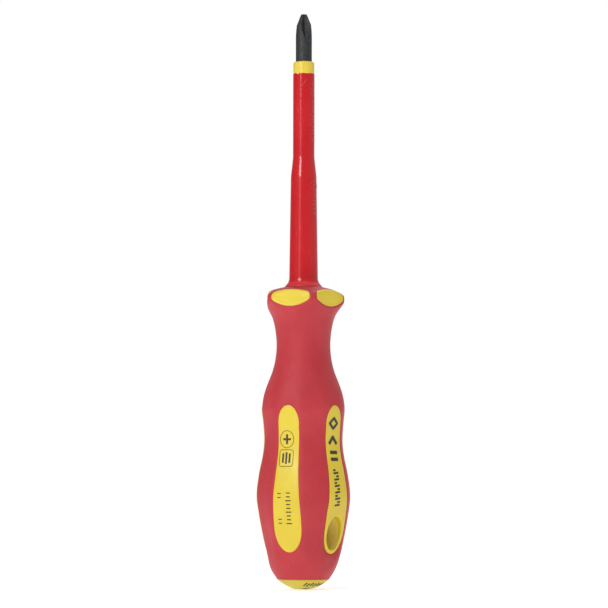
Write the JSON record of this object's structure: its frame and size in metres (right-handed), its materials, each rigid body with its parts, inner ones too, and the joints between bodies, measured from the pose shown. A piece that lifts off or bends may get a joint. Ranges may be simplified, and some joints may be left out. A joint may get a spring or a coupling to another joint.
{
  "type": "insulated screwdriver",
  "caption": "Insulated cross-slot screwdriver: black steel blade in a two-layer insulating sleeve, and a five-sided soft-grip handle with hard inlays and a hanging hole.",
  "frame": {"origin": "centre of the flat on the butt of the handle", "axes": "+Z runs from the butt along the blade to its tip; +X points out through the mouth of the hanging hole; +Y completes the right-handed frame"},
  "size_m": [0.0337, 0.0346, 0.21],
  "materials": {
    "blade_steel": "black oxide, satin",
    "inner_sleeve": "smooth moulded plastic",
    "outer_sleeve": "glossy extruded plastic",
    "soft_grip": "satin thermoplastic elastomer",
    "hard_yellow": "satin moulded plastic"
  },
  "bodies": {
    "root": {"blade": "blade_steel", "inner_insulation": "inner_sleeve", "outer_insulation": "outer_sleeve", "neck_collar": "outer_sleeve", "soft_grip": "soft_grip", "handle_core": "hard_yellow", "end_cap": "hard_yellow", "flange_inlay_1": "hard_yellow", "flange_inlay_2": "hard_yellow", "flange_inlay_3": "hard_yellow", "flange_inlay_4": "hard_yellow", "flange_inlay_5": "hard_yellow", "grip_inlay_1": "hard_yellow", "grip_inlay_2": "hard_yellow", "grip_inlay_3": "hard_yellow", "grip_inlay_4": "hard_yellow", "grip_inlay_5": "hard_yellow"}
  },
  "joints": []
}
